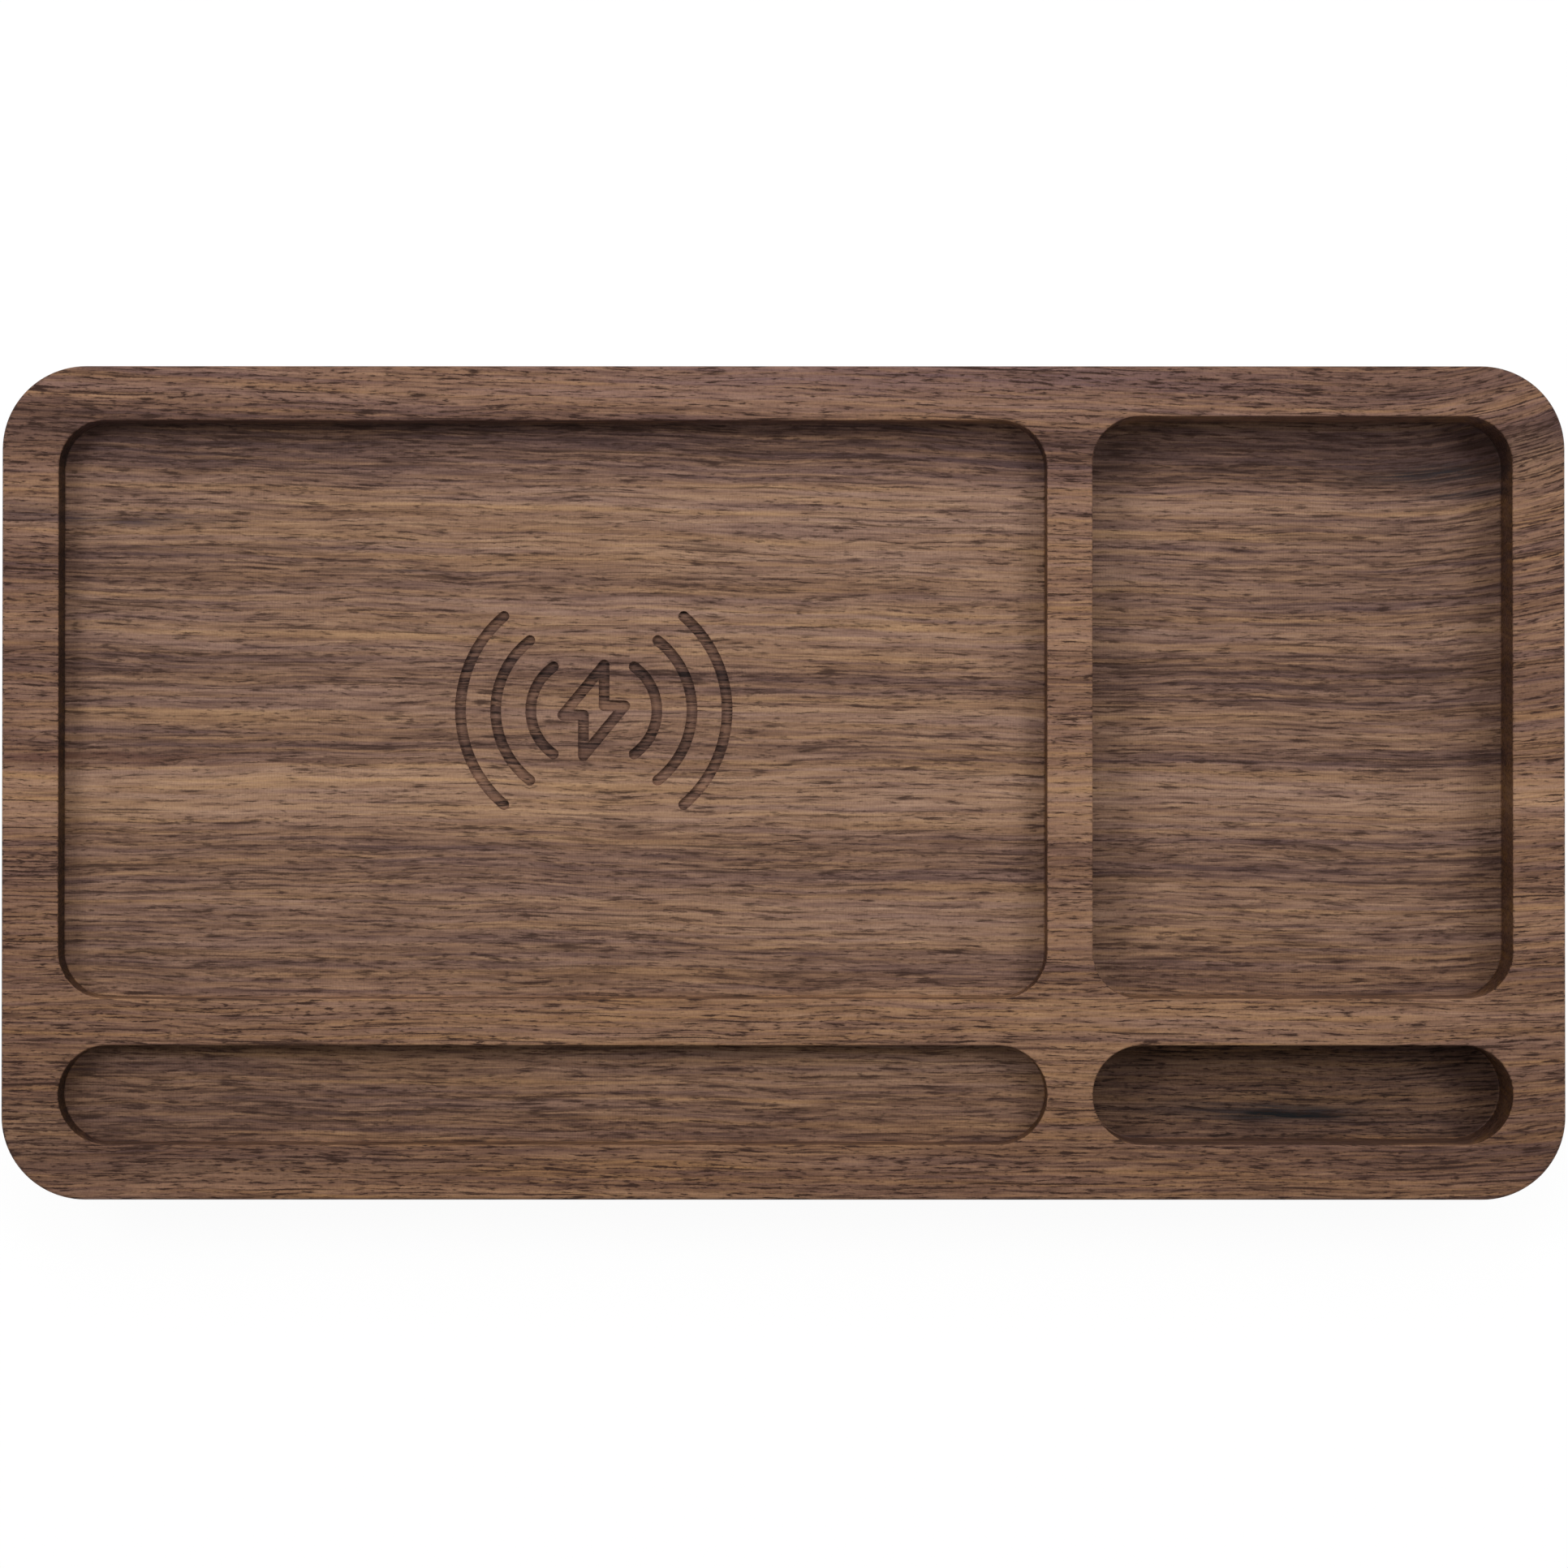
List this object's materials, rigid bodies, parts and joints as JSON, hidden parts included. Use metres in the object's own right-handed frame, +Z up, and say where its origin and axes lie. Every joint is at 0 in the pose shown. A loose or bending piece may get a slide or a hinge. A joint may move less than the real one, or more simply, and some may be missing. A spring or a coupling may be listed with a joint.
{
  "type": "wireless charging desk organizer",
  "caption": "Solid walnut desk tray with a phone pocket, a catch-all pocket, a pen slot and a clip slot, and a wireless charger built into its underside.",
  "frame": {"origin": "under the middle of the tray's outline, on the plane that its four feet stand on", "axes": "+X to the right along the long side, +Y to the rear, where the power socket is, +Z up"},
  "size_m": [0.3, 0.16, 0.0215],
  "materials": {
    "walnut": "oiled solid walnut, milled from one board",
    "cover_plastic": "black ABS, fine texture",
    "screw_steel": "zinc plated",
    "foot_rubber": "matt black",
    "foot_adhesive": "white adhesive foam",
    "coil_tape": "amber polyimide film",
    "coil_wire": "enamelled stranded copper",
    "ferrite": "sintered, matt",
    "foam": "open-cell foam",
    "sensor_epoxy": "black epoxy bead",
    "sensor_insulation": "red wire insulation",
    "board_laminate": "green solder mask",
    "chip_epoxy": "moulded epoxy",
    "inductor_ferrite": "shielded ferrite body",
    "resistor_ceramic": "black coated ceramic with tinned ends",
    "capacitor_ceramic": "tan ceramic with tinned ends",
    "heat_pad": "soft silicone",
    "socket_steel": "bright stamped steel",
    "socket_plastic": "black",
    "socket_contacts": "gold plated",
    "bezel_plastic": "black ABS"
  },
  "bodies": {
    "root": {"tray_body": "walnut", "base_cover": "cover_plastic", "cover_screws": "screw_steel", "coil_tape": "coil_tape", "transmit_coil": "coil_wire", "ferrite_tile": "ferrite", "coil_foam": "foam", "temperature_sensor": "sensor_epoxy", "sensor_wires": "sensor_insulation", "circuit_board": "board_laminate", "board_screws": "screw_steel", "controller_chip": "chip_epoxy", "power_inductor": "inductor_ferrite", "sense_resistor": "resistor_ceramic", "chip_resistors": "resistor_ceramic", "heat_pad": "heat_pad", "socket_shell": "socket_steel", "socket_tongue": "socket_plastic", "socket_contacts": "socket_contacts", "port_bezel": "bezel_plastic", "foot_front_left": "foot_rubber", "adhesive_front_left": "foot_adhesive", "foot_front_right": "foot_rubber", "adhesive_front_right": "foot_adhesive", "foot_rear_left": "foot_rubber", "adhesive_rear_left": "foot_adhesive", "foot_rear_right": "foot_rubber", "adhesive_rear_right": "foot_adhesive", "transistor_1": "chip_epoxy", "resonance_capacitor_1": "capacitor_ceramic", "transistor_2": "chip_epoxy", "resonance_capacitor_2": "capacitor_ceramic", "transistor_3": "chip_epoxy", "resonance_capacitor_3": "capacitor_ceramic", "transistor_4": "chip_epoxy", "resonance_capacitor_4": "capacitor_ceramic", "filter_capacitor_1": "capacitor_ceramic", "filter_capacitor_2": "capacitor_ceramic", "filter_capacitor_3": "capacitor_ceramic"}
  },
  "joints": []
}
